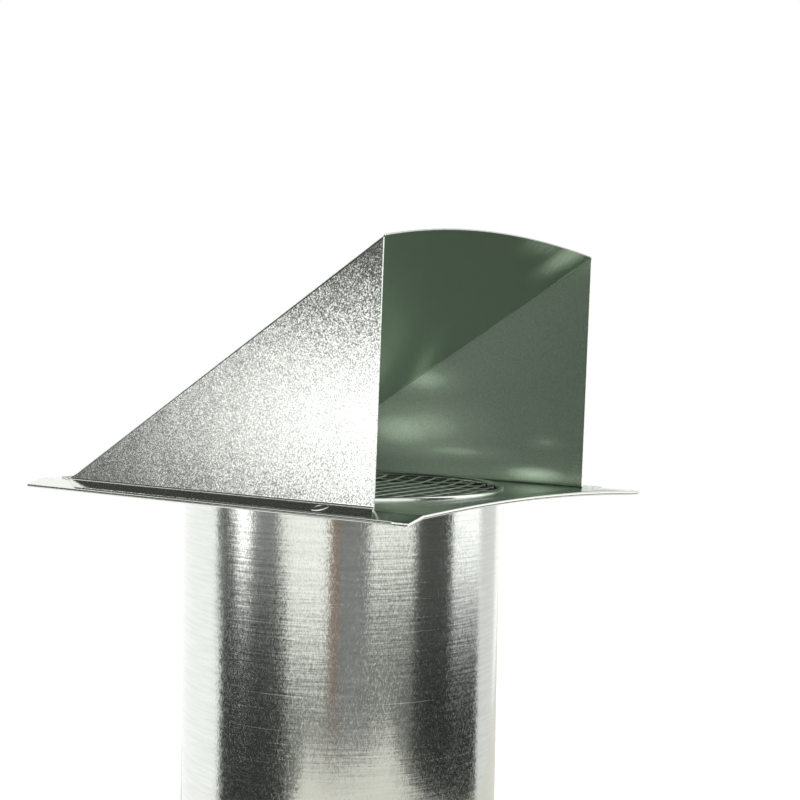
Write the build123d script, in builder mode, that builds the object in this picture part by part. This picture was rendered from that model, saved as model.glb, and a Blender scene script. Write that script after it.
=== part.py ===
from build123d import *
from math import atan2, cos, hypot, pi, sin
import os

# Hooded wall vent of galvanised sheet steel, in millimetres.
# The origin is where the pipe's axis meets the wall.
# +Z points out of the wall along the pipe, and the hood's mouth faces -Y.

# Sheet stock, and the flats that draw each of its bends
sheet = 0.45
fold_radius = 0.8
fold_flats = 3
hem_flats = 4

# Tailpipe, rolled from one sheet
pipe_diameter = 101.6
pipe_length = 152.4
neck = 0.15
rim_roll = 0.95
rim_flats = 4
seam_width = 7.0
seam_layers = 2
seam_start = 12.0
seam_angle = 62.0

# Wall plate, hemmed all round, with its margins measured from the hood
side_margin = 6.5
apron_margin = 17.5
back_margin = 12.5
hem_gap = 0.3
hem_return = 5.0
hole_clearance = 0.05
apron_rise = 1.8
left_margin_drop = 1.8
right_margin_drop = 0.2

# Hood, folded from one sheet, with its gaps measured from the pipe
cheek_gap = 3.2
mouth_gap = 6.2
foot_gap = 21.2
hood_height = 75.4
mouth_lean = 1.9
mouth_crown = 5.5
plate_crown = 0.3
side_flange_setback = 0.6
side_flange_bevel = 10.0
back_flange_setback = 4.0
back_flange_bevel = 5.0

# Clinched dimples that join the hood to the plate
clinch_radius = 1.9
clinch_flats = 12
clinch_depth = 0.5
clinch_clearance = 0.1
front_clinch_inset = 17.0
back_clinch_inset = 16.0

# Bird screen of welded wire cloth
wire = 0.7
mesh_pitch = 6.35
mesh_turn = 8.0
screen_clearance = 0.15
screen_drop = 2.2
wire_tip = 1.1

os.makedirs("parts", exist_ok=True)

# Sizes that follow from the driving dimensions
plate_top = 2 * sheet + hem_gap
nose = plate_top / 2
pipe_radius = pipe_diameter / 2
pipe_bore = pipe_radius - sheet
neck_radius = pipe_radius - neck
neck_bore = pipe_bore - neck
half_hood = pipe_radius + cheek_gap
hood_width = 2 * half_hood
hood_front = pipe_radius + mouth_gap
hood_back = pipe_radius + foot_gap
half_plate = half_hood + side_margin
plate_front = hood_front + apron_margin
plate_back = hood_back + back_margin
side_flange = side_margin - side_flange_setback
back_flange = back_margin - back_flange_setback
front_clinch = hood_front - front_clinch_inset
back_clinch = half_hood - back_clinch_inset
roof_run = hood_front + mouth_lean + hood_back
roof_slope = hood_height / roof_run
roof_angle = atan2(hood_height, roof_run)
roof_sheet = sheet / cos(roof_angle)
apron_start = hood_front + sheet
deepest_margin = plate_top + max(left_margin_drop, right_margin_drop)


def bend_points(radius, first, last, flats):
    """Points round the centre of a bend, from angle `first` to `last`, that draw it as flats."""
    angles = [first + (last - first) * i / flats for i in range(flats + 1)]
    return [(radius * cos(angle), radius * sin(angle)) for angle in angles]


def margin_tilt(drop):
    """Angle of a side margin that hangs `drop` lower at its edge."""
    return atan2(drop, side_margin)


def margin_point(side, drop, out, up):
    """Point in XZ, `out` along a side margin from the hood's fold and `up` above its top face."""
    tilt = margin_tilt(drop)
    x = half_hood + out * cos(tilt) + up * sin(tilt)
    return (side * x, plate_top - out * sin(tilt) + up * cos(tilt))


def hem_outline(place, start, end):
    """Draws a sheet that runs from `start` to `end` and folds back under itself there."""
    turn = end - nose
    bottom = -2 * nose
    back = turn - hem_return
    Polyline(
        place(start, 0),
        *[place(turn + out, up - nose) for out, up in bend_points(nose, pi / 2, -pi / 2, hem_flats)],
        place(back, bottom),
        place(back, bottom + sheet),
        place(turn, bottom + sheet),
        place(turn, -sheet),
        place(start, -sheet),
        close=True,
    )


def side_hem(side, drop):
    """Closed outline of one side margin with its hem."""
    edge = hypot(side_margin, drop)
    hem_outline(lambda out, up: margin_point(side, drop, out, up), 0, edge)


def apron_hem(start, start_drop, end_rise):
    """Closed outline of the plate's front hem, in a plane across the plate's front edge."""
    def place(out, up):
        share = (out - start) / (plate_front - start)
        return (-out, plate_top - start_drop + share * (end_rise + start_drop) + up)
    hem_outline(place, start, plate_front)


def clinch_plane(side, drop):
    """Plane on a side margin's top face, at the clinch near the hood's mouth."""
    x, z = margin_point(side, drop, side_flange / 2, 0)
    tilt = margin_tilt(drop)
    return Plane(origin=(x, -front_clinch, z), x_dir=(0, 1, 0), z_dir=(side * sin(tilt), 0, cos(tilt)))


sides = ((-1, left_margin_drop), (1, right_margin_drop))
clinch_planes = [clinch_plane(side, drop) for side, drop in sides]
back_clinch_y = hood_back + back_flange / 2
clinch_planes += [Plane(origin=(x, back_clinch_y, plate_top)) for x in (-back_clinch, back_clinch)]

# The wall plate: flat middle, bent side margins, hems on all four edges and a sprung front apron.
with BuildPart() as wall_flange:
    corner_start = plate_front - nose - hem_return - sheet
    with BuildSketch(Plane.XZ.offset(apron_start)):
        with Locations((0, plate_top - sheet / 2)):
            Rectangle(hood_width, sheet)
    extrude(amount=-(apron_start + plate_back - nose))
    for side, drop in sides:
        with BuildSketch(Plane.XZ.offset(corner_start)):
            with BuildLine():
                side_hem(side, drop)
            make_face()
        extrude(amount=-(corner_start + plate_back - nose))
    # The back hem turns under between the two sides.
    with BuildSketch(Plane.YZ.offset(-half_hood)):
        with BuildLine():
            hem_outline(lambda out, up: (out, plate_top + up), plate_back - nose - sheet, plate_back)
        make_face()
    extrude(amount=hood_width)
    # The front apron springs up between the cheeks and carries the front hem.
    for x, rise in ((-half_hood, 0), (0, apron_rise), (half_hood, 0)):
        with BuildSketch(Plane.YZ.offset(x)):
            with BuildLine():
                apron_hem(apron_start, 0, rise)
            make_face()
    loft()
    # At each front corner the front hem runs out to the plate's edge and ends open.
    for side, drop in sides:
        for x, fall in ((side * half_hood, 0), (side * half_plate, drop)):
            with BuildSketch(Plane.YZ.offset(x)):
                with BuildLine():
                    apron_hem(corner_start, fall, -fall)
                make_face()
        loft(ruled=True)
    with BuildSketch(Plane.XY.offset(plate_top)):
        Circle(pipe_radius + hole_clearance)
    extrude(amount=-plate_top, mode=Mode.SUBTRACT)
    for place in clinch_planes:
        with BuildSketch(place):
            RegularPolygon(clinch_radius + sheet + clinch_clearance, clinch_flats)
        extrude(amount=-sheet, both=True, mode=Mode.SUBTRACT)
wall_flange.part.label = "wall_flange"
export_step(wall_flange.part, "parts/wall_flange.step")

# The hood: cheeks and roof folded from one sheet, with flanges turned out on to the plate.
with BuildPart() as hood:
    overrun = 3 * mouth_crown
    fold_depth = fold_radius + sheet
    front_y = hood_front + mouth_lean + overrun
    front_rise = (front_y + hood_back) * roof_slope
    front_crown = mouth_crown / cos(roof_angle) * (front_y + hood_back) / roof_run
    sections = ((front_y, front_rise, front_crown), (-hood_back, 0, plate_crown))
    fold_x = half_hood - fold_depth
    outside_fold = bend_points(fold_depth, 0, pi / 2, fold_flats)
    inside_fold = bend_points(fold_radius, 0, pi / 2, fold_flats)
    for y, height, crown in sections:
        with BuildSketch(Plane.XZ.offset(y)):
            eave = plate_top + height
            lower = eave - roof_sheet
            base = eave - fold_depth - sheet
            outside = [(fold_x + x, eave - fold_depth + z) for x, z in outside_fold]
            inside = [(fold_x + x, lower - fold_radius + z) for x, z in inside_fold]
            with BuildLine() as fold:
                Polyline(*reversed(inside), (half_hood - sheet, base), (half_hood, base), *outside)
                mirror(fold.line, about=Plane.YZ)
                ThreePointArc(outside[-1], (0, eave + crown), (-fold_x, eave))
                ThreePointArc(inside[-1], (0, lower + crown), (-fold_x, lower))
            make_face()
    loft(ruled=True)
    # The roof's foot is cut off level with the plate's top face.
    split(bisect_by=Plane.XY.offset(plate_top), keep=Keep.TOP)
    # The cheeks are flat and reach up to the folds.
    for side in (-1, 1):
        with BuildSketch(Plane.YZ.offset(side * half_hood)):
            with BuildLine():
                Polyline(
                    (hood_back - fold_depth / roof_slope, plate_top),
                    (-front_y, plate_top),
                    (-front_y, plate_top + front_rise - fold_depth),
                    close=True,
                )
            make_face()
        extrude(amount=-side * sheet)
    # The mouth leans out with the cheeks, and across the roof it is square to the roof.
    eave_y = -hood_front - mouth_lean
    eave_z = plate_top + hood_height
    reach = 2 * overrun
    with BuildSketch(Plane.YZ.offset(-hood_width)):
        with BuildLine():
            Polyline(
                (-hood_front, plate_top),
                (eave_y, eave_z),
                (eave_y + reach * sin(roof_angle), eave_z + reach * cos(roof_angle)),
                (eave_y - 2 * reach, eave_z + reach * cos(roof_angle)),
                (eave_y - 2 * reach, plate_top),
                close=True,
            )
        make_face()
    extrude(amount=2 * hood_width, mode=Mode.SUBTRACT)
    # Side flanges lie on the plate's margins, and their back ends are cut off at an angle.
    for side, drop in sides:
        with BuildSketch(Plane.XZ.offset(hood_front)):
            with BuildLine():
                Polyline(
                    margin_point(side, drop, -sheet, 0),
                    margin_point(side, drop, side_flange, 0),
                    margin_point(side, drop, side_flange, sheet),
                    margin_point(side, drop, -sheet, sheet),
                    close=True,
                )
            make_face()
        extrude(amount=-(hood_front + hood_back))
        outer = half_hood + side_flange
        with BuildSketch(Plane.XY.offset(plate_top + sheet)):
            with BuildLine():
                Polyline(
                    (side * half_hood, hood_back),
                    (side * outer, hood_back - side_flange_bevel),
                    (side * (outer + side_margin), hood_back - side_flange_bevel),
                    (side * (outer + side_margin), hood_back),
                    close=True,
                )
            make_face()
        extrude(amount=deepest_margin, both=True, mode=Mode.SUBTRACT)
    # The back flange runs on from the roof's foot.
    with BuildSketch(Plane.XY.offset(plate_top)):
        with BuildLine():
            Polyline(
                (-half_hood, hood_back - 2 * sheet),
                (half_hood, hood_back - 2 * sheet),
                (half_hood, hood_back),
                (half_hood - back_flange_bevel, hood_back + back_flange),
                (back_flange_bevel - half_hood, hood_back + back_flange),
                (-half_hood, hood_back),
                close=True,
            )
        make_face()
    extrude(amount=sheet)
    # Each clinch is a round cup pressed down through the plate.
    for place in clinch_planes:
        with BuildSketch(place):
            RegularPolygon(clinch_radius + sheet, clinch_flats)
        extrude(amount=-clinch_depth)
        with BuildSketch(place.offset(sheet)):
            RegularPolygon(clinch_radius, clinch_flats)
        extrude(amount=-clinch_depth, mode=Mode.SUBTRACT)
hood.part.label = "hood"
export_step(hood.part, "parts/hood.step")

# The tailpipe: a rolled tube, drawn in where it passes through the plate, with its rim turned over and pressed.
with BuildPart() as tailpipe:
    with BuildSketch(Plane.XZ):
        with BuildLine():
            neck_start = plate_top - sheet - neck
            crest = neck_bore + rim_roll
            rim = bend_points(rim_roll, pi, 0, rim_flats)
            Polyline(
                (pipe_bore, -pipe_length),
                (pipe_bore, neck_start),
                *[(crest + x, plate_top + z) for x, z in rim],
                (neck_radius, plate_top),
                (pipe_radius, neck_start),
                (pipe_radius, -pipe_length),
                close=True,
            )
        make_face()
    revolve(axis=Axis.Z)
    # The lock seam lies inside, so that the outside slides into a duct.
    with BuildSketch(Plane.XY.offset(-seam_start).rotated((0, 0, seam_angle))):
        with Locations((pipe_bore - seam_layers * sheet / 2, 0)):
            Rectangle((seam_layers + 1) * sheet, seam_width)
        Circle(pipe_bore + sheet / 2, mode=Mode.INTERSECT)
    extrude(amount=seam_start - pipe_length)
tailpipe.part.label = "tailpipe"
export_step(tailpipe.part, "parts/tailpipe.step")

# The bird screen: wires welded in a square grid, each with its ends turned up against the pipe.
with BuildPart() as bird_screen:
    screen_radius = neck_bore - screen_clearance
    screen_top = plate_top + rim_roll - screen_drop
    wires_each_way = int(2 * screen_radius / mesh_pitch)
    first = -(wires_each_way - 1) / 2 * mesh_pitch
    offsets = [first + i * mesh_pitch for i in range(wires_each_way)]
    screen_plane = Plane.XY.offset(screen_top - wire).rotated((0, 0, mesh_turn))
    with BuildSketch(screen_plane):
        for across in offsets:
            with Locations((0, across)):
                Rectangle(2 * screen_radius, wire)
            with Locations((across, 0)):
                Rectangle(wire, 2 * screen_radius)
        Circle(screen_radius, mode=Mode.INTERSECT)
    extrude(amount=wire)
    with BuildSketch(screen_plane.offset(wire)):
        for across in offsets:
            reach = (screen_radius ** 2 - (abs(across) + wire / 2) ** 2) ** 0.5 - wire / 2
            for end in (-reach, reach):
                with Locations((end, across), (across, end)):
                    Rectangle(wire, wire)
    extrude(amount=wire_tip)
bird_screen.part.label = "bird_screen"
export_step(bird_screen.part, "parts/bird_screen.step")
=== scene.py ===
"""Looks of a galvanised hooded wall vent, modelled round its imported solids."""

import logging
import math
from dataclasses import dataclass
from enum import Enum

import bmesh
import bpy
from mathutils import Matrix, Vector


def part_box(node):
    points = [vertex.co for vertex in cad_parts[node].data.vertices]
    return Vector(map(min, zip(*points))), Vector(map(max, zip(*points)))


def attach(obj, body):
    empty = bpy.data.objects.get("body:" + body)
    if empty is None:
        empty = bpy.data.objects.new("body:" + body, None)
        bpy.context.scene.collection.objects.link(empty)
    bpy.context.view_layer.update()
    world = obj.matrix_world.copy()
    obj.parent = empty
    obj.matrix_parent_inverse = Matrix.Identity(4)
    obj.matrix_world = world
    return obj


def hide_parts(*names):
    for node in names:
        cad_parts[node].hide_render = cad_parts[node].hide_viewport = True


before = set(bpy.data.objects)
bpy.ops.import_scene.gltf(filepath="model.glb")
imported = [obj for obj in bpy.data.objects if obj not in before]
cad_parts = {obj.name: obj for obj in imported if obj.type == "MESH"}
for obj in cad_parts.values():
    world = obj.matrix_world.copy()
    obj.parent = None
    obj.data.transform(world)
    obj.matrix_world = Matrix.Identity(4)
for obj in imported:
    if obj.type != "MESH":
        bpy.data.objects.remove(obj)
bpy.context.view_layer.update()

LOG = logging.getLogger("wall_vent")
MM = 0.001
BODY = "root"
INSIDE = "inside"
SHARP_ANGLE = math.radians(32)
FULL_TURN = 2 * math.pi
UP = (0, 0, 1)
MERGE_MM = 0.0005
TINY_MM = 0.0001
WHITE = (1.0, 1.0, 1.0, 1.0)

Pair = tuple[float, float]
Triple = tuple[float, float, float]
Tree = bpy.types.NodeTree
Socket = bpy.types.NodeSocket
Mesh = bmesh.types.BMesh
Object = bpy.types.Object


class Side(Enum):
    """The two sides of the vent, as the sign of X."""

    LEFT = -1
    RIGHT = 1


class Skin(Enum):
    """Which way the grain of a sheet runs."""

    EVEN = "even"
    UPRIGHT = "upright"


def linear(colour: str) -> tuple[float, float, float, float]:
    """Turns an sRGB hex colour to linear RGBA.

    Args:
        colour: the colour as "#RRGGBB".

    Returns:
        Linear red, green, blue and an alpha of one.
    """
    channels = [int(colour[i:i + 2], 16) / 255 for i in (1, 3, 5)]
    values = [c / 12.92 if c <= 0.04045 else ((c + 0.055) / 1.055) ** 2.4 for c in channels]
    return (*values, 1.0)


def mix(a: float, b: float, share: float) -> float:
    """Value a given share of the way from a to b."""
    return a + (b - a) * share


def per_metre(lengths_mm: Triple) -> Triple:
    """Texture scale for a pattern of given lengths.

    Args:
        lengths_mm: length of one repeat along X, Y and Z.

    Returns:
        Repeats in a metre along each.
    """
    return tuple(1 / (length * MM) for length in lengths_mm)


def add_node(tree: Tree, kind: str, inputs: dict, out: int | str = 0, **settings: str) -> Socket:
    """Adds one shader node.

    Args:
        tree: the node tree that takes the node.
        kind: the node's type, without its ShaderNode prefix.
        inputs: value or output socket for each input, by name or number.
        out: name or number of the output that is wanted.
        settings: the node's own properties.

    Returns:
        The wanted output of the new node.
    """
    node = tree.nodes.new("ShaderNode" + kind)
    for name, value in settings.items():
        setattr(node, name, value)
    for key, value in inputs.items():
        if isinstance(value, Socket):
            tree.links.new(value, node.inputs[key])
        else:
            node.inputs[key].default_value = value
    return node.outputs[out]


def polygon(bm: Mesh, points: list) -> bmesh.types.BMFace:
    """Makes one face from its corners."""
    return bm.faces.new([bm.verts.new(point) for point in points])


def push(bm: Mesh, faces: list, by: Triple) -> list:
    """Extrudes faces into a closed prism.

    Args:
        bm: the mesh.
        faces: the faces that move.
        by: how far they move, in millimetres.

    Returns:
        The vertices of the moved end.
    """
    grown = bmesh.ops.extrude_face_region(bm, geom=faces)["geom"]
    moved = [item for item in grown if isinstance(item, bmesh.types.BMVert)]
    bmesh.ops.translate(bm, verts=moved, vec=by)
    return moved


def arc(radius: float, first: float, last: float, steps: int) -> list[Pair]:
    """Points of an arc about its centre.

    Args:
        radius: the arc's radius.
        first: angle of the first point, in radians.
        last: angle of the last point.
        steps: number of chords.

    Returns:
        The points in order.
    """
    angles = [mix(first, last, i / steps) for i in range(steps + 1)]
    return [(radius * math.cos(angle), radius * math.sin(angle)) for angle in angles]


def finish_mesh(bm: Mesh, name: str) -> Object:
    """Turns a mesh in millimetres to an object of the part.

    Args:
        bm: the mesh, which is freed.
        name: the piece's name.

    Returns:
        The object, which rides on the part's one body.
    """
    bmesh.ops.scale(bm, vec=(MM, MM, MM), verts=bm.verts)
    for face in bm.faces:
        face.smooth = True
    for edge in bm.edges:
        edge.smooth = edge.is_manifold and edge.calc_face_angle(math.pi) < SHARP_ANGLE
    mesh = bpy.data.meshes.new(name)
    bm.to_mesh(mesh)
    bm.free()
    piece = bpy.data.objects.new(name, mesh)
    bpy.context.scene.collection.objects.link(piece)
    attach(piece, BODY)
    LOG.info("%s: %d faces", name, len(mesh.polygons))
    return piece


@dataclass(frozen=True)
class Scuff:
    """A field of fine scratches that run one way, as length and width in the part's frame."""

    turn_deg: Triple
    size_mm: Triple
    start: float
    strength: float
    softness: float = 0.1

    def marks(self, tree: Tree, place: Socket) -> Socket:
        """Draws the scratches.

        Args:
            tree: the material's node tree.
            place: object coordinates.

        Returns:
            A socket that is nothing between the scratches and the scuff's strength on them.
        """
        turn = tuple(math.radians(angle) for angle in self.turn_deg)
        turned = add_node(tree, "Mapping", {0: place, 2: turn})
        drawn = add_node(tree, "VectorMath", {0: turned, 1: per_metre(self.size_mm)}, operation="MULTIPLY")
        lines = add_node(tree, "TexNoise", {"Vector": drawn, "Scale": 1.0, "Detail": 1.0})
        edge = {0: lines, 1: self.start, 2: self.start + self.softness, 4: self.strength}
        return add_node(tree, "MapRange", edge)


@dataclass(frozen=True)
class PaintedHighlight:
    """A painted highlight: a pale patch standing in for light reflected about inside the hood, as a soft
    ellipsoid in the part's frame.
    """

    centre_mm: Triple
    reach_mm: Triple
    strength: float

    def painted_patch(self, tree: Tree, place: Socket) -> Socket:
        """Draws the painted highlight.

        Args:
            tree: the material's node tree.
            place: object coordinates.

        Returns:
            A socket that is the patch's strength at its middle and nothing past its reach.
        """
        shift = tuple(-centre / reach for centre, reach in zip(self.centre_mm, self.reach_mm))
        local = add_node(tree, "Mapping", {0: place, 1: shift, 3: per_metre(self.reach_mm)})
        away = add_node(tree, "VectorMath", {0: local}, "Value", operation="LENGTH")
        edge = {0: away, 1: 0.0, 2: 1.0, 3: self.strength, 4: 0.0}
        return add_node(tree, "MapRange", edge, interpolation_type="SMOOTHSTEP")


@dataclass(frozen=True)
class GalvanisedSheet:
    """Bright zinc-coated steel sheet.

    Its fine crystals each tilt the reflection a little, so that it glitters. Faces that are marked as inside
    carry a thin dull film whose grey-green colour is a painted reflection of green surroundings, with
    painted highlights and, on the roof, painted shade.
    """

    name: str
    colour: str = "#E0E4DE"
    roughness: float = 0.16
    grain_mm: float = 0.36
    skin: Skin = Skin.EVEN
    upright_stretch: float = 3.5
    tilt: Triple = (0.05, 0.05, 0.05)
    dull_crystals: Pair = (0.6, 1.0)
    fleck_dulling: float = 0.1
    dark_crystals: Pair = (0.6, 0.9)
    speck: float = 0.0
    ripple_mm: Triple = (22.0, 22.0, 22.0)
    ripple_strength: float = 0.08
    line_waves: Pair = (0.3, 0.7)
    line_tone: float = 0.0
    # Painted reflection: grey-green of the film, standing in for green surroundings mirrored inside the hood.
    film_painted_tint: str = "#B2C4B1"
    film: Pair = (0.24, 0.58)
    film_depth_mm: Pair = (-60.0, 30.0)
    mottle: float = 0.14
    # Colour of the painted highlights.
    painted_highlight_colour: str = "#E2F8DE"
    roof_to_cheek: Pair = (0.5, 1.0)
    # Painted shade: share of the colour left on the roof's inside.
    roof_shade: float = 0.8
    painted_highlights: tuple[PaintedHighlight, ...] = ()
    scuffs: tuple[Scuff, ...] = ()
    roof_scuffs: tuple[Scuff, ...] = ()
    roof_scuff_depth_mm: Pair = (-58.0, -26.0)

    def material(self) -> bpy.types.Material:
        """Builds the node material."""
        material = bpy.data.materials.new(self.name)
        material.use_nodes = True
        tree = material.node_tree
        shader = tree.nodes["Principled BSDF"]
        place = add_node(tree, "TexCoord", {}, "Object")
        stretch = self.upright_stretch if self.skin is Skin.UPRIGHT else 1.0
        grain = 1 / (self.grain_mm * MM)
        cells = add_node(tree, "Mapping", {0: place, 3: (grain, grain, grain / stretch)})
        crystals = add_node(tree, "TexVoronoi", {"Vector": cells, "Scale": 1.0}, "Color")
        chance = add_node(tree, "SeparateXYZ", {0: crystals})
        drawn = add_node(tree, "VectorMath", {0: place, 1: per_metre(self.ripple_mm)}, operation="MULTIPLY")
        waves = add_node(tree, "TexNoise", {"Vector": drawn, "Scale": 1.0, "Detail": 2.0})
        tree.links.new(self.normal(tree, crystals, waves), shader.inputs["Normal"])
        tree.links.new(self.dullness(tree, place, chance), shader.inputs["Roughness"])
        self.add_film(tree, shader, place, chance, self.bare_colour(tree, chance, waves))
        return material

    def normal(self, tree: Tree, crystals: Socket, waves: Socket) -> Socket:
        """Leans the surface by its crystals and by slow ripples of the sheet.

        Args:
            tree: the material's node tree.
            crystals: a random colour for each crystal.
            waves: height of the ripples.

        Returns:
            The normal's socket.
        """
        centred = add_node(tree, "VectorMath", {0: crystals, 1: (0.5, 0.5, 0.5)}, operation="SUBTRACT")
        leaned = add_node(tree, "VectorMath", {0: centred, 1: self.tilt}, operation="MULTIPLY")
        flat = add_node(tree, "NewGeometry", {}, "Normal")
        tilted = add_node(tree, "VectorMath", {0: flat, 1: leaned}, operation="ADD")
        facet = add_node(tree, "VectorMath", {0: tilted}, operation="NORMALIZE")
        ripples = {"Strength": self.ripple_strength, "Distance": MM, "Height": waves, "Normal": facet}
        return add_node(tree, "Bump", ripples)

    def dullness(self, tree: Tree, place: Socket, chance: Socket) -> Socket:
        """Roughness of the sheet, with a few dull crystals and its scuffs.

        Args:
            tree: the material's node tree.
            place: object coordinates.
            chance: a random number for each crystal.

        Returns:
            The roughness socket.
        """
        low, high = self.dull_crystals
        rough = {0: chance, 1: low, 2: high, 3: self.roughness, 4: self.roughness + self.fleck_dulling}
        total = add_node(tree, "MapRange", rough)
        for scuff in self.scuffs:
            total = add_node(tree, "Math", {0: total, 1: scuff.marks(tree, place)}, operation="ADD")
        return total

    def bare_colour(self, tree: Tree, chance: Socket, waves: Socket) -> Socket:
        """Colour of the clean zinc, with rolled lines and a few darker crystals.

        Args:
            tree: the material's node tree.
            chance: a random number for each crystal.
            waves: height of the ripples, which tone the lines.

        Returns:
            The colour's socket.
        """
        low, high = self.line_waves
        lined = {0: waves, 1: low, 2: high, 3: 1 - self.line_tone, 4: 1 + self.line_tone}
        lines = add_node(tree, "MapRange", lined)
        low, high = self.dark_crystals
        specks = add_node(tree, "MapRange", {0: chance, 1: low, 2: high, 3: 1.0, 4: 1 - self.speck})
        toned = add_node(tree, "Math", {0: lines, 1: specks}, operation="MULTIPLY")
        clean = {0: 1.0, 6: linear(self.colour), 7: toned}
        return add_node(tree, "Mix", clean, 2, data_type="RGBA", blend_type="MULTIPLY")

    def add_film(
        self, tree: Tree, shader: bpy.types.Node, place: Socket, chance: Socket, bare: Socket
    ) -> None:
        """Colours the sheet, with a thin film on its inside faces that is thicker deep in the hood. The
        film's grey-green is a painted reflection, its pale patches are painted highlights and the roof's
        darker tone is painted shade.

        Args:
            tree: the material's node tree.
            shader: the node that takes the colour.
            place: object coordinates.
            chance: a random number for each crystal.
            bare: colour of the clean zinc.
        """
        inside = add_node(tree, "Attribute", {}, "Fac", attribute_name=INSIDE)
        depth = add_node(tree, "SeparateXYZ", {0: place}, "Y")
        mouth, deep = (level * MM for level in self.film_depth_mm)
        thin, thick = self.film
        film = add_node(tree, "MapRange", {0: depth, 1: mouth, 2: deep, 3: thin, 4: thick})
        # Painted reflection: the film's grey-green stands in for green surroundings mirrored inside the hood.
        painted_tint = linear(self.film_painted_tint)
        # Painted highlights: each pale patch lightens and thickens the film where light reflected inside the
        # hood would fall.
        for highlight in self.painted_highlights:
            painted_patch = highlight.painted_patch(tree, place)
            film = add_node(tree, "Math", {0: film, 1: painted_patch}, operation="MAXIMUM")
            painted_tint = add_node(tree, "Mix", {0: painted_patch, 6: painted_tint, 7: linear(self.painted_highlight_colour)}, 2, data_type="RGBA")
        near, far = (level * MM for level in self.roof_scuff_depth_mm)
        front = add_node(tree, "MapRange", {0: depth, 1: near, 2: far, 3: 1.0, 4: 0.0})
        low, high = self.roof_to_cheek
        roof = add_node(tree, "MapRange", {0: inside, 1: low, 2: high, 3: front, 4: 0.0})
        for scuff in self.roof_scuffs:
            marked = {0: scuff.marks(tree, place), 1: roof, 2: film}
            film = add_node(tree, "Math", marked, operation="MULTIPLY_ADD")
        tone = add_node(tree, "MapRange", {0: chance, 3: 1 - self.mottle, 4: 1 + self.mottle})
        # Painted shade: the roof's inside is darkened by roof_shade.
        shade = add_node(tree, "MapRange", {0: inside, 1: low, 2: high, 3: self.roof_shade, 4: 1.0})
        shaded = add_node(tree, "Math", {0: tone, 1: shade}, operation="MULTIPLY")
        painted_tint_inputs = {0: 1.0, 6: painted_tint, 7: shaded}
        mottled_painted_tint = add_node(tree, "Mix", painted_tint_inputs, 2, data_type="RGBA", blend_type="MULTIPLY")
        covered = add_node(tree, "Math", {0: inside, 1: 0.0}, operation="GREATER_THAN")
        tint = add_node(tree, "Mix", {0: covered, 6: bare, 7: mottled_painted_tint}, 2, data_type="RGBA")
        tree.links.new(tint, shader.inputs["Base Color"])
        share = add_node(tree, "Math", {0: inside, 1: film}, operation="MULTIPLY")
        metal = add_node(tree, "Math", {0: 1.0, 1: share}, operation="SUBTRACT")
        tree.links.new(metal, shader.inputs["Metallic"])


@dataclass(frozen=True)
class ZincWire:
    """Drawn steel wire with a soft zinc coat, a little duller than the sheet."""

    name: str
    colour: str = "#D2D9CF"
    roughness: float = 0.3
    bareness: float = 0.84
    pits_mm: float = 0.4
    pit_depth_mm: float = 0.1
    pit_strength: float = 0.2

    def material(self) -> bpy.types.Material:
        """Builds the node material."""
        material = bpy.data.materials.new(self.name)
        material.use_nodes = True
        tree = material.node_tree
        shader = tree.nodes["Principled BSDF"]
        place = add_node(tree, "TexCoord", {}, "Object")
        pits = add_node(tree, "TexNoise", {"Vector": place, "Scale": 1 / (self.pits_mm * MM)})
        dents = {"Strength": self.pit_strength, "Distance": self.pit_depth_mm * MM, "Height": pits}
        tree.links.new(add_node(tree, "Bump", dents), shader.inputs["Normal"])
        shader.inputs["Base Color"].default_value = linear(self.colour)
        shader.inputs["Metallic"].default_value = self.bareness
        shader.inputs["Roughness"].default_value = self.roughness
        return material


# Outside, fine glitter with dark specks. Inside, a dull film painted grey-green as a painted reflection, with
# pale painted highlights, painted shade on the roof and a few scratches.
HOOD_FINISH = GalvanisedSheet(
    "galvanised_steel_hood",
    roughness=0.115,
    fleck_dulling=0.07,
    grain_mm=0.26,
    tilt=(0.055, 0.055, 0.055),
    speck=0.34,
    # Painted highlights: pale patches on the roof and right cheek, standing in for light reflected about
    # inside the hood.
    painted_highlights=(
        PaintedHighlight((44, -58, 77), (10.5, 24, 18), 1.5),
        PaintedHighlight((30, -57, 80), (20, 13, 9), 0.8),
        PaintedHighlight((53.5, 9, 35), (3, 24, 9), 0.8),
        PaintedHighlight((53.5, 20, 17), (3, 36, 13), 0.95),
        PaintedHighlight((53.5, 12, 18.5), (3, 46, 15), 0.72),
        PaintedHighlight((53.5, -4, 10.5), (3, 34, 4.2), 0.62),
        PaintedHighlight((53.5, -42.6, 15.3), (3, 10, 3.5), 0.4),
        PaintedHighlight((53.5, -38, 4.4), (3, 22, 4.6), 0.85),
    ),
    roof_scuffs=(Scuff((29.9, 0, 112), (7, 0.6, 7), 0.56, 0.26),),
)
# The same sheet, with a thinner film in the hood's shade whose darker grey-green is painted shade and painted
# reflection.
PLATE_FINISH = GalvanisedSheet(
    "galvanised_steel_plate",
    film_painted_tint="#96A895",
    film=(0.02, 0.34),
    film_depth_mm=(-60, -20),
    # Painted highlights: two faint pale patches on the plate near the mouth.
    painted_highlights=(PaintedHighlight((38, -54, 1.5), (34, 24, 8), 0.25), PaintedHighlight((-57, -66, 0.5), (9, 15, 6), 0.25)),
)
# Crystals drawn out upright, so that streaks run down the pipe, with rolled lines and scratches round it.
PIPE_FINISH = GalvanisedSheet(
    "galvanised_steel_pipe",
    roughness=0.13,
    grain_mm=0.2,
    skin=Skin.UPRIGHT,
    tilt=(0.045, 0.045, 0.022),
    ripple_mm=(16.0, 16.0, 1.1),
    ripple_strength=0.02,
    line_tone=0.05,
    scuffs=(Scuff((0, 0, 0), (40, 40, 0.25), 0.7, 0.2),),
)
# Satin grey, a little darker than the sheet round it.
WIRE_FINISH = ZincWire("galvanised_steel_wire")


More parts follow.
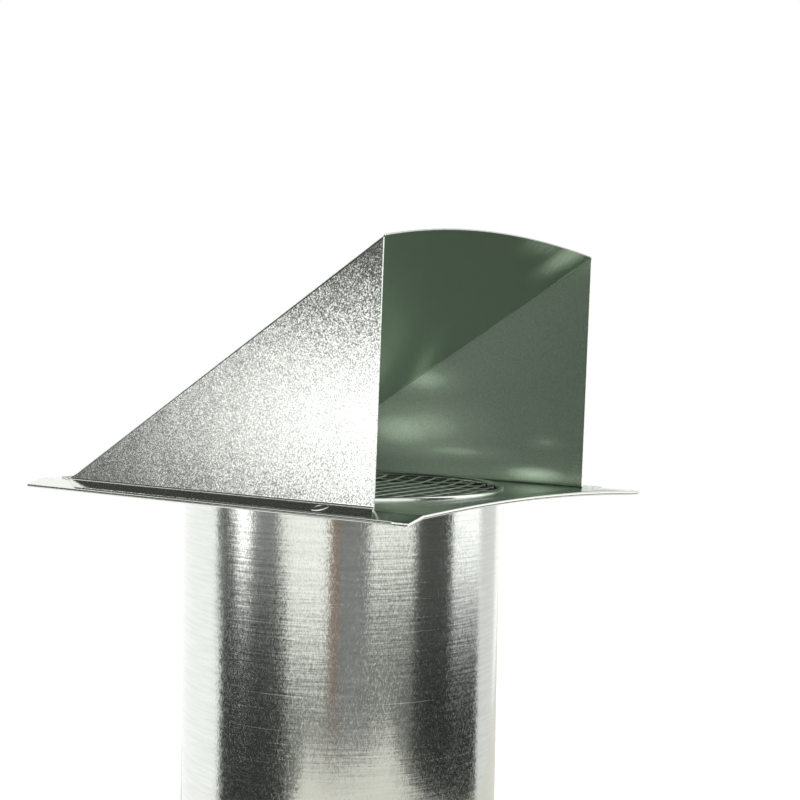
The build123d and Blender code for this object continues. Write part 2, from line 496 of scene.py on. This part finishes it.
@dataclass(frozen=True)
class Stock:
    """Sizes that the vent's pieces share, in millimetres."""

    sheet: float = 0.45
    hem_gap: float = 0.3
    hem_return: float = 5.0
    pipe_radius: float = 50.8
    half_hood: float = 54.0
    hood_front: float = 57.0
    hood_back: float = 72.0
    side_margin: float = 6.5
    apron_margin: float = 17.5
    back_margin: float = 12.5
    left_drop: float = 1.8
    right_drop: float = 0.2
    apron_rise: float = 1.8
    nose_steps: int = 10
    crease_steps: int = 6

    @property
    def plate_top(self) -> float:
        """Height of the plate's top face above the wall."""
        return 2 * self.sheet + self.hem_gap

    @property
    def nose(self) -> float:
        """Radius of a hem's folded edge."""
        return self.plate_top / 2

    @property
    def half_plate(self) -> float:
        """Half of the plate's width."""
        return self.half_hood + self.side_margin

    @property
    def plate_front(self) -> float:
        """Distance from the pipe's axis to the plate's front edge."""
        return self.hood_front + self.apron_margin

    @property
    def plate_back(self) -> float:
        """Distance from the pipe's axis to the plate's back edge."""
        return self.hood_back + self.back_margin

    def drop(self, side: Side) -> float:
        """How far a side margin hangs down at its edge."""
        return self.left_drop if side is Side.LEFT else self.right_drop

    def tilt(self, side: Side) -> float:
        """Angle of a side margin below the level, in radians."""
        return math.atan2(self.drop(side), self.side_margin)

    def margin_point(self, side: Side, out: float, up: float) -> Pair:
        """Point in XZ on a side margin.

        Args:
            side: which margin.
            out: distance from the hood's fold along the margin.
            up: distance above the margin's top face.

        Returns:
            Its X and Z.
        """
        tilt = self.tilt(side)
        x = self.half_hood + out * math.cos(tilt) + up * math.sin(tilt)
        return (side.value * x, self.plate_top - out * math.sin(tilt) + up * math.cos(tilt))

    def hem(self, start: float, end: float) -> list[Pair]:
        """Outline of a sheet that folds back under itself, as (out, up) from its top face.

        Args:
            start: where the outline begins.
            end: the outside of the folded edge.

        Returns:
            The outline's corners in order.
        """
        turn = end - self.nose
        bottom = -2 * self.nose
        inner = self.nose - self.sheet
        right = math.pi / 2
        outside = [(turn + x, y - self.nose) for x, y in arc(self.nose, right, -right, self.nose_steps)]
        inside = [(turn + x, y - self.nose) for x, y in arc(inner, -right, right, self.crease_steps)]
        back = turn - self.hem_return
        flat = turn - 0.1 * self.nose
        top = [(start, 0), (flat, 0)] if start < flat else []
        under = [(flat, -self.sheet), (start, -self.sheet)] if start < flat else []
        low = [(flat, bottom), (back, bottom), (back, bottom + self.sheet), (flat, bottom + self.sheet)]
        return [*top, *outside, *low, *inside, *under]


@dataclass
class Tailpipe:
    """The rolled pipe with its turned rim and its inside lock seam."""

    stock: Stock
    finish: GalvanisedSheet
    length: float = 152.4
    neck: float = 0.15
    rim_roll: float = 0.95
    rim_steps: int = 16
    around: int = 256
    seam_width: float = 7.0
    seam_start: float = 12.0
    seam_angle: float = 62.0
    seam_round: float = 0.35

    def build(self) -> Object:
        """Spins the pipe's section and adds the seam.

        Returns:
            The pipe's object.
        """
        stock = self.stock
        bore = stock.pipe_radius - stock.sheet
        neck_start = stock.plate_top - stock.sheet - self.neck
        crest = bore - self.neck + self.rim_roll
        rim = [(crest + x, stock.plate_top + z) for x, z in arc(self.rim_roll, math.pi, 0, self.rim_steps)]
        straight = neck_start - self.neck
        section = [
            (bore, -self.length),
            (bore, straight),
            (bore, neck_start),
            *rim,
            (stock.pipe_radius - self.neck, stock.plate_top),
            (stock.pipe_radius, neck_start),
            (stock.pipe_radius, straight),
            (stock.pipe_radius, -self.length),
        ]
        bm = bmesh.new()
        points = [bm.verts.new((x, 0, z)) for x, z in section]
        edges = [bm.edges.new((a, b)) for a, b in zip(points, points[1:] + points[:1])]
        bmesh.ops.spin(
            bm, geom=points + edges, axis=UP, angle=FULL_TURN, steps=self.around, use_merge=True
        )
        bmesh.ops.remove_doubles(bm, verts=bm.verts, dist=MERGE_MM)
        self.add_seam(bm, bore)
        bmesh.ops.recalc_face_normals(bm, faces=bm.faces)
        return finish_mesh(bm, "pipe_wall")

    def add_seam(self, bm: Mesh, bore: float) -> None:
        """Adds the strip of folded sheet along the inside of the pipe.

        Args:
            bm: the pipe's mesh.
            bore: the pipe's inside radius.
        """
        height = self.length - self.seam_start
        depth = 3 * self.stock.sheet
        turn = Matrix.Rotation(math.radians(self.seam_angle), 4, "Z")
        middle = Matrix.Translation((bore - self.stock.sheet, 0, -self.seam_start - height / 2))
        size = Matrix.Diagonal((depth, self.seam_width, height, 1))
        strip = bmesh.ops.create_cube(bm, size=1.0, matrix=turn @ middle @ size)["verts"]
        edges = list({edge for vert in strip for edge in vert.link_edges if edge.calc_length() > height / 2})
        bmesh.ops.bevel(
            bm, geom=edges, offset=self.seam_round, segments=3, profile=0.5, affect="EDGES", material=-1
        )

    def dress(self, piece: Object) -> None:
        """Gives the pipe its finish and hides the imported pipe it stands in for."""
        piece.data.materials.append(self.finish.material())
        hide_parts("tailpipe")


@dataclass
class WallPlate:
    """The wall plate with its four hems, bent margins and sprung apron."""

    stock: Stock
    finish: GalvanisedSheet
    hole_steps: int = 128
    apron_steps: int = 48
    hole_clearance: float = 0.05

    def build(self) -> Object:
        """Builds the flat middle, the margins, the apron and the hems.

        Returns:
            The plate's object.
        """
        bm = bmesh.new()
        self.add_middle(bm)
        self.add_side_hems(bm)
        self.add_back_hem(bm)
        self.add_apron(bm)
        self.add_front_corners(bm)
        bmesh.ops.recalc_face_normals(bm, faces=bm.faces)
        self.mark_inside(bm)
        return finish_mesh(bm, "plate_sheet")

    def mark_inside(self, bm: Mesh) -> None:
        """Marks the faces under the hood and in front of its mouth, clear of the folded edges, for the film
        and its painted tint.
        """
        stock = self.stock
        geom = [*bm.verts, *bm.edges, *bm.faces]
        bmesh.ops.bisect_plane(bm, geom=geom, plane_co=(0, stock.hood_back, 0), plane_no=(0, 1, 0))
        inside = bm.faces.layers.float.new(INSIDE)
        for face in bm.faces:
            middle = face.calc_center_median()
            clear_left = middle.x > 2 * stock.nose - stock.half_plate
            clear_front = middle.y > 2 * stock.nose - stock.plate_front
            sheltered = middle.x > -stock.half_hood or middle.y < -stock.hood_front
            under = middle.x < stock.half_hood and middle.y < stock.hood_back
            face[inside] = float(clear_left and clear_front and sheltered and under)

    @property
    def apron_start(self) -> float:
        """Where the sprung apron begins, in front of the cheeks."""
        return self.stock.hood_front + self.stock.sheet

    @property
    def corner_start(self) -> float:
        """Where the front hem takes over from the side hems."""
        stock = self.stock
        return stock.plate_front - stock.nose - stock.hem_return - stock.sheet

    def add_middle(self, bm: Mesh) -> None:
        """Adds the flat sheet with the pipe's hole."""
        stock = self.stock
        far = stock.plate_back - stock.nose
        near = -self.apron_start
        half = stock.half_hood
        corners = [(-half, near), (half, near), (half, far), (-half, far)]
        loop = [bm.verts.new((x, y, stock.plate_top)) for x, y in corners]
        edges = [bm.edges.new((a, b)) for a, b in zip(loop, loop[1:] + loop[:1])]
        raised = Matrix.Translation((0, 0, stock.plate_top))
        ring = bmesh.ops.create_circle(
            bm, segments=self.hole_steps, radius=stock.pipe_radius + self.hole_clearance, matrix=raised
        )["verts"]
        edges += list({edge for vert in ring for edge in vert.link_edges})
        filled = bmesh.ops.triangle_fill(bm, use_beauty=True, edges=edges, normal=UP)["geom"]
        push(bm, [item for item in filled if isinstance(item, bmesh.types.BMFace)], (0, 0, -stock.sheet))

    def add_side_hems(self, bm: Mesh) -> None:
        """Adds the two side margins, each with its hem."""
        stock = self.stock
        far = stock.plate_back - stock.nose
        for side in Side:
            edge = math.hypot(stock.side_margin, stock.drop(side))
            outline = [stock.margin_point(side, out, up) for out, up in stock.hem(0, edge)]
            for start, end in ((-self.corner_start, -self.apron_start), (-self.apron_start, far)):
                face = polygon(bm, [(x, start, z) for x, z in outline])
                push(bm, [face], (0, end - start, 0))

    def add_back_hem(self, bm: Mesh) -> None:
        """Adds the hem along the back edge."""
        stock = self.stock
        outline = stock.hem(stock.plate_back - stock.nose, stock.plate_back)
        face = polygon(bm, [(-stock.half_hood, out, stock.plate_top + up) for out, up in outline])
        push(bm, [face], (2 * stock.half_hood, 0, 0))

    def add_apron(self, bm: Mesh) -> None:
        """Adds the apron in front of the mouth, sprung up in its middle."""
        stock = self.stock
        outline = stock.hem(self.apron_start, stock.plate_front)
        face = polygon(bm, [(-stock.half_hood, -out, stock.plate_top + up) for out, up in outline])
        far_end = push(bm, [face], (2 * stock.half_hood, 0, 0))
        long = {edge for vert in far_end for edge in vert.link_edges if edge.calc_length() > stock.half_hood}
        bmesh.ops.subdivide_edges(bm, edges=list(long), cuts=self.apron_steps - 1, use_grid_fill=True)
        reach = stock.plate_front - self.apron_start
        for vert in bm.verts:
            share = (-vert.co.y - self.apron_start) / reach
            arch = 1 - (vert.co.x / stock.half_hood) ** 2
            if share > 0 and arch > 0:
                vert.co.z += share * arch * stock.apron_rise

    def add_front_corners(self, bm: Mesh) -> None:
        """Runs the front hem out to the plate's edges, where it ends open."""
        stock = self.stock
        for side in Side:
            outline = stock.hem(self.corner_start, stock.plate_front)
            inner = side.value * stock.half_hood
            face = polygon(bm, [(inner, -out, stock.plate_top + up) for out, up in outline])
            push(bm, [face], (side.value * stock.side_margin, 0, -stock.drop(side)))

    def dress(self, piece: Object) -> None:
        """Gives the plate its finish and hides the imported flange it stands in for."""
        piece.data.materials.append(self.finish.material())
        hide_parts("wall_flange")


@dataclass
class Hood:
    """The hood folded from one sheet: roof, cheeks and out-turned flanges."""

    stock: Stock
    finish: GalvanisedSheet
    height: float = 75.4
    mouth_lean: float = 1.9
    mouth_crown: float = 5.4
    foot_crown: float = 0.26
    fold_radius: float = 0.9
    bend_radius: float = 0.45
    bend_share: float = 0.45
    level_normal: float = 0.5
    side_flange: float = 5.9
    flange_slant: float = 0.75
    flange_bevel: float = 10.0
    back_flange: float = 8.5
    back_bevel: float = 5.0
    clinch_radius: float = 2.35
    clinch_rim: float = 0.22
    clinch_steps: int = 28
    clinch_section: tuple[Pair, ...] = (
        (1.12, -0.1), (1.05, 0.45), (0.94, 0.95), (0.82, 0.85), (0.7, 0.4), (0.45, 0.16), (0, 0.1),
    )
    front_clinch: float = 40.0
    back_clinch: float = 38.0
    # Inside mark of the roof faces: a smaller film share, and the mark for the roof's painted shade.
    roof_film_and_shade_mark: float = 0.44
    rows: int = 72
    columns: tuple[tuple[str, int], ...] = (
        ("left_flange", 3), ("left_bend", 5), ("left_cheek", 24), ("left_fold", 7), ("roof", 44),
        ("right_fold", 7), ("right_cheek", 24), ("right_bend", 5), ("right_flange", 3),
    )

    @property
    def roof_angle(self) -> float:
        """Slope of the roof."""
        return math.atan2(self.height, self.stock.hood_front + self.mouth_lean + self.stock.hood_back)

    @property
    def base(self) -> float:
        """Height of the flanges' top face on a level margin."""
        return self.stock.plate_top + self.stock.sheet

    def build(self) -> Object:
        """Shapes a grid into the folded sheet and thickens it.

        Returns:
            The hood's object.
        """
        bm = bmesh.new()
        total = sum(count for _, count in self.columns)
        bmesh.ops.create_grid(bm, x_segments=total, y_segments=self.rows, size=1.0)
        for vert in bm.verts:
            column = round((vert.co.x + 1) / 2 * total)
            row = (vert.co.y + 1) / 2
            vert.co = self.place(column, row)
        bmesh.ops.remove_doubles(bm, verts=bm.verts, dist=0.002)
        self.bevel_flanges(bm)
        self.add_back_flange(bm)
        bmesh.ops.recalc_face_normals(bm, faces=bm.faces)
        inside = bm.faces.layers.float.new(INSIDE)
        grown = bmesh.ops.solidify(bm, geom=bm.faces[:], thickness=self.stock.sheet)["geom"]
        under = {item for item in grown if isinstance(item, bmesh.types.BMVert)}
        for face in bm.faces:
            if all(vert in under for vert in face.verts):
                # The roof's inside gets a smaller film share and the mark for its painted shade.
                face[inside] = self.roof_film_and_shade_mark if abs(face.normal.z) > self.level_normal else 1.0
        self.add_clinches(bm)
        return finish_mesh(bm, "hood_sheet")

    def place(self, column: int, row: float) -> Vector:
        """Where a point of the flat grid lies on the outside of the hood.

        Args:
            column: grid column, counted from the left flange's edge.
            row: share of the way from mouth to foot.

        Returns:
            The point, in millimetres.
        """
        for name, count in self.columns:
            if column <= count:
                break
            column -= count
        share = column / count
        if name == "roof":
            return self.roof_point(-math.cos(math.pi * share), row)
        side = Side.LEFT if name.startswith("left") else Side.RIGHT
        share = share if side is Side.LEFT else 1 - share
        return self.side_point(side, name.split("_")[1], share, row)

    def foot(self) -> Pair:
        """Y and Z of the line where the roof's outside meets the back flange."""
        return (self.stock.hood_back - self.stock.sheet / math.tan(self.roof_angle), self.base)

    def eave(self, row: float) -> Pair:
        """Sharp line that the roof and a cheek would meet in.

        Args:
            row: share of the way from mouth to foot.

        Returns:
            Y and Z of its point there.
        """
        foot_y, foot_z = self.foot()
        front_y = -self.stock.hood_front - self.mouth_lean
        return (mix(front_y, foot_y, row), mix(self.stock.plate_top + self.height, foot_z, row))

    def fold_at(self, row: float) -> float:
        """Radius of the roof's folds, which runs out with the cheeks.

        Args:
            row: share of the way from mouth to foot.

        Returns:
            The radius.
        """
        return min(self.fold_radius, self.bend_share * (self.eave(row)[1] - self.base))

    def roof_point(self, across: float, row: float) -> Vector:
        """Point on the roof's outside.

        Args:
            across: from -1 at the left fold to 1 at the right one.
            row: share of the way from mouth to foot.

        Returns:
            The point, in millimetres.
        """
        y, z = self.eave(row)
        reach = self.stock.half_hood - self.fold_at(row)
        x = across * reach
        crown = mix(self.mouth_crown, self.foot_crown, row) * (1 - (x / self.stock.half_hood) ** 2)
        return Vector((x, y + crown * math.sin(self.roof_angle), z + crown * math.cos(self.roof_angle)))

    def side_point(self, side: Side, part: str, share: float, row: float) -> Vector:
        """Point on a flange, bend, cheek or fold of one side.

        Args:
            side: which side.
            part: which stretch of the section.
            share: how far along it, from the flange's edge towards the roof.
            row: share of the way from mouth to foot.

        Returns:
            The point, in millimetres.
        """
        stock = self.stock
        wall = side.value * stock.half_hood
        y, z = self.eave(row)
        top = Vector((wall, y, z))
        tilt = stock.tilt(side)
        rest = max(self.base, stock.plate_top + stock.sheet / math.cos(tilt))
        low = Vector((wall, mix(-stock.hood_front, self.foot()[0], row), min(rest, z)))
        rise = top - low
        bend = min(self.bend_radius, self.bend_share * rise.length)
        fold = self.fold_at(row)
        up = rise.normalized() if rise.length > TINY_MM else Vector((0, 0, 1))
        out = Vector((side.value * math.cos(tilt), 0, -math.sin(tilt)))
        turn = share * math.pi / 2
        if part == "flange":
            reach = mix(self.side_flange, bend, share)
            return low + out * reach - Vector((0, self.flange_slant * (reach - bend) * (1 - row), 0))
        if part == "bend":
            return low + out * bend * (1 - math.sin(turn)) + up * bend * (1 - math.cos(turn))
        if part == "cheek":
            return low + up * mix(bend, rise.length - fold, (1 - math.cos(math.pi * share)) / 2)
        ridge = self.roof_point(side.value, row) - top
        return top - up * fold * (1 - math.sin(turn)) + ridge * (1 - math.cos(turn))

    def bevel_flanges(self, bm: Mesh) -> None:
        """Cuts the back ends of the side flanges off at an angle."""
        stock = self.stock
        for side in Side:
            limit = stock.half_hood
            faces = [f for f in bm.faces if side.value * f.calc_center_median().x > limit + TINY_MM]
            geom = list({v for f in faces for v in f.verts} | {e for f in faces for e in f.edges}) + faces
            normal = Vector((side.value * self.flange_bevel, self.side_flange, 0)).normalized()
            point = (side.value * limit, self.foot()[0], 0)
            bmesh.ops.bisect_plane(bm, geom=geom, plane_co=point, plane_no=normal, clear_outer=True)

    def add_back_flange(self, bm: Mesh) -> None:
        """Runs the sheet on from the roof's foot, with its corners cut off."""
        stock = self.stock
        foot_y = self.foot()[0]
        near = 0.3
        at_foot = {v for v in bm.verts if abs(v.co.y - foot_y) < near and abs(v.co.x) <= stock.half_hood}
        rim = [edge for edge in bm.edges if edge.is_boundary and at_foot.issuperset(edge.verts)]
        grown = bmesh.ops.extrude_edge_only(bm, edges=rim)["geom"]
        narrow = (stock.half_hood - self.back_bevel) / stock.half_hood
        for vert in grown:
            if isinstance(vert, bmesh.types.BMVert):
                vert.co = Vector((vert.co.x * narrow, stock.hood_back + self.back_flange, self.base))

    def add_clinches(self, bm: Mesh) -> None:
        """Presses a shallow round button with a raised rim into each flange."""
        stock = self.stock
        spots = []
        for side in Side:
            x, z = stock.margin_point(side, self.side_flange / 2, stock.sheet)
            lean = Matrix.Rotation(side.value * stock.tilt(side), 4, "Y")
            spots.append(Matrix.Translation((x, -self.front_clinch, z)) @ lean)
            back = (side.value * self.back_clinch, stock.hood_back + self.back_flange / 2, self.base)
            spots.append(Matrix.Translation(back))
        radius, rim = self.clinch_radius, self.clinch_rim
        button = bmesh.new()
        line = [button.verts.new((radius * r, 0, rim * z)) for r, z in self.clinch_section]
        edges = [button.edges.new((a, b)) for a, b in zip(line, line[1:])]
        bmesh.ops.spin(
            button, geom=line + edges, axis=UP, angle=FULL_TURN, steps=self.clinch_steps, use_merge=True
        )
        bmesh.ops.remove_doubles(button, verts=button.verts, dist=MERGE_MM)
        bmesh.ops.recalc_face_normals(button, faces=button.faces)
        pressed = bpy.data.meshes.new("clinch")
        at = Matrix.Identity(4)
        for spot in spots:
            bmesh.ops.transform(button, matrix=spot @ at.inverted(), verts=button.verts)
            at = spot
            button.to_mesh(pressed)
            bm.from_mesh(pressed)
        button.free()
        bpy.data.meshes.remove(pressed)

    def dress(self, piece: Object) -> None:
        """Gives the hood its finish and hides the imported hood it stands in for."""
        piece.data.materials.append(self.finish.material())
        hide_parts("hood")


@dataclass
class BirdScreen:
    """Disc of welded wire cloth, dished a little at its rim."""

    stock: Stock
    finish: ZincWire
    wire: float = 0.6
    pitch: float = 6.35
    turn: float = 8.0
    radius: float = 50.05
    top: float = -0.05
    rim_rise: float = 1.15
    rim_width: float = 14.0
    weld: float = 0.35
    sides: int = 10
    bends: int = 40

    def build(self) -> Object:
        """Lays two crossing layers of wire and dishes them.

        Returns:
            The screen's object.
        """
        bm = bmesh.new()
        count = int(2 * self.radius / self.pitch)
        first = -(count - 1) / 2 * self.pitch
        for layer in range(2):
            turn = Matrix.Rotation(math.radians(self.turn + 90 * layer), 4, "Z")
            height = self.top - self.wire / 2 - layer * self.wire * (1 - self.weld)
            for i in range(count):
                across = first + i * self.pitch
                half = math.sqrt(self.radius ** 2 - (abs(across) + self.wire / 2) ** 2)
                place = turn @ Matrix.Translation((0, across, height)) @ Matrix.Rotation(math.pi / 2, 4, "Y")
                self.add_wire(bm, 2 * half, place)
        for vert in bm.verts:
            reach = math.hypot(vert.co.x, vert.co.y)
            share = max(0.0, (reach - self.radius + self.rim_width) / self.rim_width)
            vert.co.z += self.rim_rise * share ** 2
        bmesh.ops.recalc_face_normals(bm, faces=bm.faces)
        return finish_mesh(bm, "screen_wires")

    def add_wire(self, bm: Mesh, length: float, place: Matrix) -> None:
        """Adds one straight wire that can bend along its length.

        Args:
            bm: the screen's mesh.
            length: the wire's length.
            place: where its middle lies and which way it runs.
        """
        thick = self.wire / 2
        ends = bmesh.ops.create_cone(
            bm, cap_ends=True, segments=self.sides, radius1=thick, radius2=thick, depth=length, matrix=place
        )["verts"]
        long = {edge for vert in ends for edge in vert.link_edges if edge.calc_length() > self.wire}
        bmesh.ops.subdivide_edges(bm, edges=list(long), cuts=self.bends, use_grid_fill=True)

    def dress(self, piece: Object) -> None:
        """Gives the screen its finish and hides the imported screen it stands in for."""
        piece.data.materials.append(self.finish.material())
        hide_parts("bird_screen")


@dataclass(frozen=True)
class Panel:
    """One soft-edged light or dark panel of the studio, seen from the vent.

    Azimuth is in degrees from the camera's direction, positive to its right, and elevation from the level.
    """

    name: str
    azimuth: Pair
    elevation: Pair
    level: float
    colour: str = "#FFFFFF"
    side_blur: float = 3.0
    edge_blur: float = 2.0

    def mask(self, tree: Tree, around: Socket, above: Socket) -> Socket:
        """Share of the panel in each direction.

        Args:
            tree: the world's node tree.
            around: azimuth socket, in radians.
            above: elevation socket, in radians.

        Returns:
            A socket that is one on the panel and falls to nothing past its soft edges.
        """
        spans = ((around, self.azimuth, self.side_blur), (above, self.elevation, self.edge_blur))
        mask = 1.0
        for angle, limits, blur in spans:
            for limit, (before, after) in zip(limits, ((0.0, 1.0), (1.0, 0.0))):
                start, end = math.radians(limit - blur), math.radians(limit + blur)
                edge = {0: angle, 1: start, 2: end, 3: before, 4: after}
                step = add_node(tree, "MapRange", edge, interpolation_type="SMOOTHSTEP")
                mask = add_node(tree, "Math", {0: mask, 1: step}, operation="MULTIPLY")
        return mask


@dataclass
class Studio:
    """Camera, pale board, white sweep and the panels that the metal mirrors."""

    yaw: float = 51.67
    pitch: float = 1.80
    roll: float = -0.99
    eye: Triple = (-384.26, -326.69, 44.96)
    lens: float = 70.25
    sensor: float = 36.0
    board_width: Pair = (-122.0, 222.0)
    board_length: Pair = (-1600.0, 332.0)
    board_colour: str = "#EDEAE2"
    board_roughness: float = 0.9
    board_glow: float = 0.4
    fills: tuple[Panel, ...] = (
        Panel("overhead", (-200, 200), (45, 100), 1.25, "#FFFFFF", 2, 12),
        Panel("front_fill", (-8, 32), (-10, 35), 5.0, "#FFFFFF", 8, 8),
    )
    fill_level: float = 0.28
    panels: tuple[Panel, ...] = (
        Panel("dark_room", (-92.5, 88), (-90, 18), 0.14, "#F4F6F0", 2, 4),
        Panel("left_flag", (-97.5, -84), (-9.5, 18), 0.15, "#F4F6F0", 2, 3),
        Panel("left_dark_sky", (-112, -55), (2.3, 48), 0.08, "#F6F6EA", 4, 1.5),
        Panel("left_dark_floor", (-92.5, -34), (-90, -9.5), 0.038, "#F4F6F0", 2, 3),
        Panel("right_white", (88, 118), (-9.0, 60), 1.5),
        Panel("right_dark_floor", (53, 120), (-90, -8.8), 0.032, "#EEF4EC", 3, 3),
        Panel("left_gap", (-64, -42), (-8.6, 2.0), 0.3),
        Panel("left_window", (-83.5, -63), (-5.6, 0.95), 1.85, "#FFFFFF", 5.5, 1.0),
        Panel("left_window_foot", (-77, -66), (-7.8, -3.0), 2.2, "#FFFFFF", 4, 1.2),
        Panel("left_softbox", (-42.5, -7), (-8.2, 40), 1.15, "#FFFEFA", 2.5, 1.2),
        Panel("left_softbox_foot", (-36.5, -7), (-11.1, -6), 1.15, "#FFFEFA", 2.5, 1.2),
        Panel("warm_stand", (-6, 0), (-12.5, 60), 0.24, "#FFC299", 1.5, 2),
        Panel("grey_middle", (0, 20), (-90, 40), 0.16, "#FFFFFF", 2, 2),
        Panel("right_softbox", (21, 55), (-8.3, 40), 1.15, "#FFFEFA", 2.0, 1.4),
        Panel("right_flag", (58, 84), (-10, 60), 0.1, "#EAF2E8", 2.5, 2),
        Panel("right_edge", (121, 150), (-90, 90), 0.8),
        Panel("far_left_dark", (-190, -160), (-4.2, 1.5), 0.06, "#FFFFFF", 3, 0.8),
        Panel("far_right_dark", (160, 190), (-4.2, 1.5), 0.06, "#FFFFFF", 3, 0.8),
    )
    sweep_level: float = 1.12

    def axes(self) -> tuple[Vector, Vector, Vector]:
        """Directions of the camera.

        Returns:
            Level directions to its right and from the vent to it, and its line of sight.
        """
        yaw, pitch = math.radians(self.yaw), math.radians(self.pitch)
        right = Vector((math.cos(yaw), -math.sin(yaw), 0))
        toward = Vector((-math.sin(yaw), -math.cos(yaw), 0))
        sight = -toward * math.cos(pitch) - Vector((0, 0, math.sin(pitch)))
        return right, toward, sight

    def add_camera(self) -> None:
        """Puts the camera at the photograph's place."""
        right, _, sight = self.axes()
        down = sight.cross(right)
        roll = math.radians(self.roll)
        image_right = right * math.cos(roll) + down * math.sin(roll)
        image_down = down * math.cos(roll) - right * math.sin(roll)
        turn = Matrix((image_right, -image_down, -sight)).transposed().to_4x4()
        data = bpy.data.cameras.new("camera")
        data.lens = self.lens
        data.sensor_width = self.sensor
        data.clip_start = 0.01
        camera = bpy.data.objects.new("camera", data)
        camera.matrix_world = Matrix.Translation(Vector(self.eye) * MM) @ turn
        bpy.context.scene.collection.objects.link(camera)
        bpy.context.scene.camera = camera

    def add_board(self, height: float) -> None:
        """Lays the pale board that the vent stands on.

        Args:
            height: the board's top, in metres.
        """
        right, toward, _ = self.axes()
        (left, far_right), (back, front) = self.board_width, self.board_length
        bm = bmesh.new()
        corners = [(left, front), (far_right, front), (far_right, back), (left, back)]
        polygon(bm, [(right * r + toward * t) * MM + Vector((0, 0, height)) for r, t in corners])
        bmesh.ops.recalc_face_normals(bm, faces=bm.faces)
        mesh = bpy.data.meshes.new("board")
        bm.to_mesh(mesh)
        bm.free()
        board = bpy.data.objects.new("board", mesh)
        bpy.context.scene.collection.objects.link(board)
        mesh.materials.append(self.board_material())

    def board_material(self) -> bpy.types.Material:
        """Matt pale board, lifted to white where the camera sees it."""
        material = bpy.data.materials.new("matt_white_board")
        material.use_nodes = True
        tree = material.node_tree
        shader = tree.nodes["Principled BSDF"]
        shader.inputs["Base Color"].default_value = linear(self.board_colour)
        shader.inputs["Roughness"].default_value = self.board_roughness
        shader.inputs["Specular IOR Level"].default_value = 0.0
        shader.inputs["Emission Color"].default_value = WHITE
        sight = add_node(tree, "LightPath", {}, "Is Camera Ray")
        glow = add_node(tree, "Math", {0: sight, 1: self.board_glow}, operation="MULTIPLY")
        tree.links.new(glow, shader.inputs["Emission Strength"])
        return material

    def add_world(self) -> None:
        """Builds the white sweep, with the panels for mirror rays and an even dome for the rest."""
        world = bpy.data.worlds.new("studio")
        bpy.context.scene.world = world
        world.use_nodes = True
        tree = world.node_tree
        ray = add_node(tree, "TexCoord", {}, "Generated")
        right, toward, _ = self.axes()
        along = add_node(tree, "VectorMath", {0: ray, 1: right}, "Value", operation="DOT_PRODUCT")
        ahead = add_node(tree, "VectorMath", {0: ray, 1: toward}, "Value", operation="DOT_PRODUCT")
        height = add_node(tree, "SeparateXYZ", {0: ray}, "Z")
        around = add_node(tree, "Math", {0: along, 1: ahead}, operation="ARCTAN2")
        above = add_node(tree, "Math", {0: height}, operation="ARCSINE")
        picture = self.layered(tree, self.panels, self.sweep_level, around, above)
        dome = self.layered(tree, self.fills, self.fill_level, around, above)
        kinds = ("Glossy", "Camera", "Transmission")
        glossy, camera, through = (add_node(tree, "LightPath", {}, f"Is {kind} Ray") for kind in kinds)
        lit = add_node(tree, "Mix", {0: glossy, 6: dome, 7: picture}, 2, data_type="RGBA")
        clear = add_node(tree, "Math", {0: camera, 1: through}, operation="MAXIMUM")
        seen = add_node(tree, "Mix", {0: clear, 6: lit, 7: WHITE}, 2, data_type="RGBA")
        tree.links.new(seen, tree.nodes["Background"].inputs["Color"])

    def layered(
        self, tree: Tree, panels: tuple[Panel, ...], level: float, around: Socket, above: Socket
    ) -> Socket:
        """Lays panels over an even white surround, each over the ones before it.

        Args:
            tree: the world's node tree.
            panels: the panels, from the back one on.
            level: brightness of the surround.
            around: azimuth socket, in radians.
            above: elevation socket, in radians.

        Returns:
            The socket of the light's colour.
        """
        picture = (level, level, level, 1.0)
        for panel in panels:
            mask = panel.mask(tree, around, above)
            lit = (*(panel.level * channel for channel in linear(panel.colour)[:3]), 1.0)
            picture = add_node(tree, "Mix", {0: mask, 6: picture, 7: lit}, 2, data_type="RGBA")
        return picture


def main() -> None:
    """Builds and dresses the vent, then sets the stage."""
    logging.basicConfig(level=logging.INFO, format="%(name)s %(message)s")
    stock = Stock()
    pieces = (
        WallPlate(stock, PLATE_FINISH),
        Hood(stock, HOOD_FINISH),
        Tailpipe(stock, PIPE_FINISH),
        BirdScreen(stock, WIRE_FINISH),
    )
    for piece in pieces:
        piece.dress(piece.build())
    studio = Studio()
    studio.add_camera()
    studio.add_board(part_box("tailpipe")[0].z)
    studio.add_world()
    bpy.context.scene.view_settings.view_transform = "Standard"


if __name__ == "__main__":
    main()
